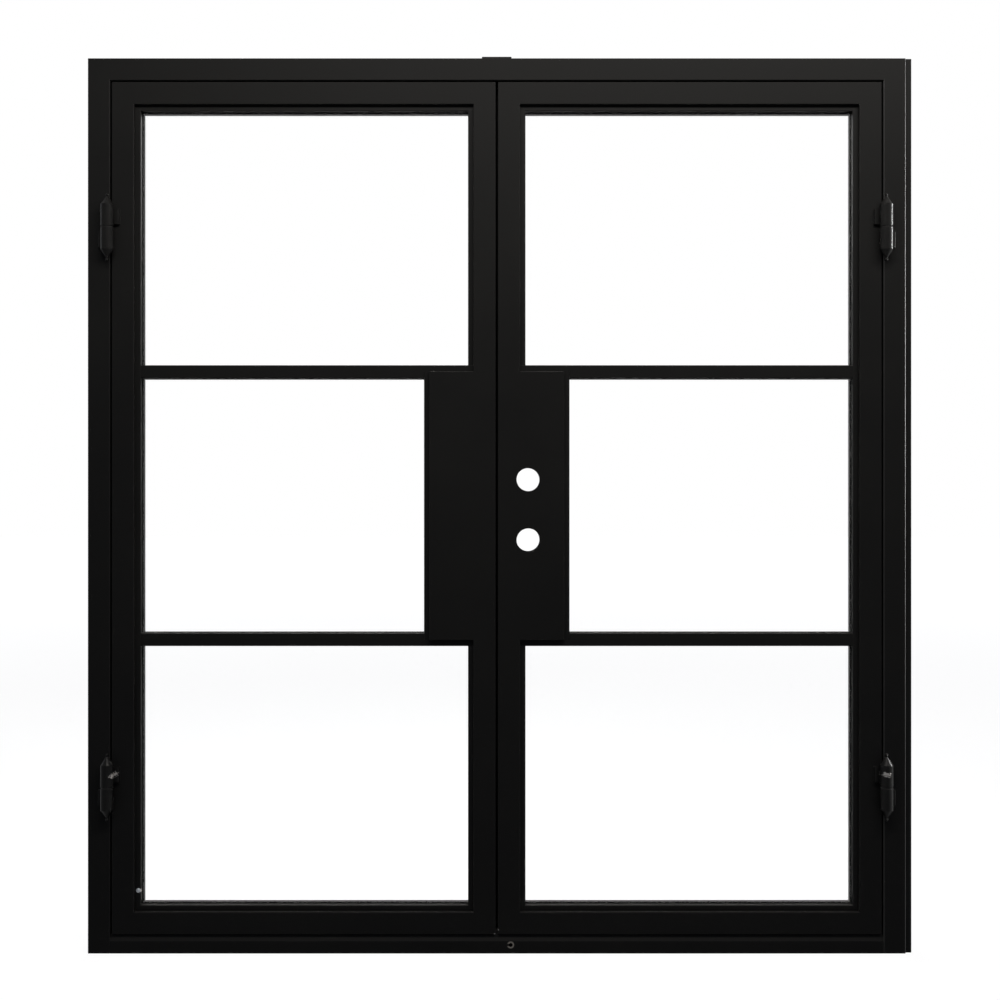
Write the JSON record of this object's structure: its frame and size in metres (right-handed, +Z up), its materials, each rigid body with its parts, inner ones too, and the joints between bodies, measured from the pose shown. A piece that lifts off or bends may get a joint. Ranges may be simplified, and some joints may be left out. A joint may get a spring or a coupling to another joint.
{
  "type": "french doors",
  "caption": "Black steel french doors in a tube frame: two glazed leaves with flat glazing bars, lock boxes and barrel hinges that swing out to the front.",
  "frame": {"origin": "middle of the threshold's underside, at half the frame's depth", "axes": "+X to the right seen from the front, +Y from the front to the back, +Z up"},
  "size_m": [1.8946, 0.1336, 2.0614],
  "materials": {
    "black_steel": "satin paint",
    "clear_glass": "clear",
    "seal_rubber": "matte",
    "spacer_aluminium": "anodised black",
    "pin_steel": "ground",
    "bolt_steel": "zinc plated",
    "bare_steel": "worn bare",
    "guide_nylon": "moulded",
    "brush_pile": "woven pile"
  },
  "bodies": {
    "frame": {"frame_seals": "seal_rubber", "head_anchor_plate": "black_steel", "head_jamb": "black_steel", "head_stop": "black_steel", "hinge_pins": "pin_steel", "hinge_washers": "guide_nylon", "left_jamb": "black_steel", "left_lower_frame_knuckle": "black_steel", "left_stop": "black_steel", "left_upper_frame_knuckle": "black_steel", "right_jamb": "black_steel", "right_jamb_flange": "black_steel", "right_lower_frame_knuckle": "black_steel", "right_stop": "black_steel", "right_upper_frame_knuckle": "black_steel", "threshold": "black_steel", "threshold_drain_ring": "bare_steel"},
    "left_leaf": {"left_bolt_guides": "guide_nylon", "left_bottom_rail": "black_steel", "left_glass_spacers": "spacer_aluminium", "left_glazing_tapes": "seal_rubber", "left_hinge_stile": "black_steel", "left_lock_box": "black_steel", "left_lock_box_lip": "black_steel", "left_lower_glass": "clear_glass", "left_lower_glazing_bar": "black_steel", "left_lower_leaf_knuckle": "black_steel", "left_lower_meeting_stile": "black_steel", "left_meeting_brush": "brush_pile", "left_middle_glass": "clear_glass", "left_rear_beads": "black_steel", "left_setting_blocks": "seal_rubber", "left_top_rail": "black_steel", "left_upper_glass": "clear_glass", "left_upper_glazing_bar": "black_steel", "left_upper_leaf_knuckle": "black_steel", "left_upper_meeting_stile": "black_steel"},
    "right_leaf": {"right_bottom_rail": "black_steel", "right_glass_spacers": "spacer_aluminium", "right_glazing_tapes": "seal_rubber", "right_hinge_stile": "black_steel", "right_lock_box": "black_steel", "right_lock_box_lip": "black_steel", "right_lower_glass": "clear_glass", "right_lower_glazing_bar": "black_steel", "right_lower_leaf_knuckle": "black_steel", "right_lower_meeting_stile": "black_steel", "right_middle_glass": "clear_glass", "right_rear_beads": "black_steel", "right_setting_blocks": "seal_rubber", "right_top_rail": "black_steel", "right_upper_glass": "clear_glass", "right_upper_glazing_bar": "black_steel", "right_upper_leaf_knuckle": "black_steel", "right_upper_meeting_stile": "black_steel"},
    "left_upper_flush_bolt": {"left_upper_flush_bolt": "bolt_steel"},
    "left_lower_flush_bolt": {"left_lower_flush_bolt": "bolt_steel"}
  },
  "joints": [
    {"name": "left_leaf_swing", "type": "hinge", "parent": "frame", "child": "left_leaf", "pos_m": [-0.89, -0.0678, 1], "axis": [0, 0, -1], "range_deg": [0, 165]},
    {"name": "right_leaf_swing", "type": "hinge", "parent": "frame", "child": "right_leaf", "pos_m": [0.89, -0.0678, 1], "axis": [0, 0, 1], "range_deg": [0, 165]},
    {"name": "left_upper_bolt_slide", "type": "slide", "parent": "left_leaf", "child": "left_upper_flush_bolt", "axis": [0, 0, 1], "range_m": [0, 0.02]},
    {"name": "left_lower_bolt_slide", "type": "slide", "parent": "left_leaf", "child": "left_lower_flush_bolt", "axis": [0, 0, -1], "range_m": [0, 0.03]}
  ]
}
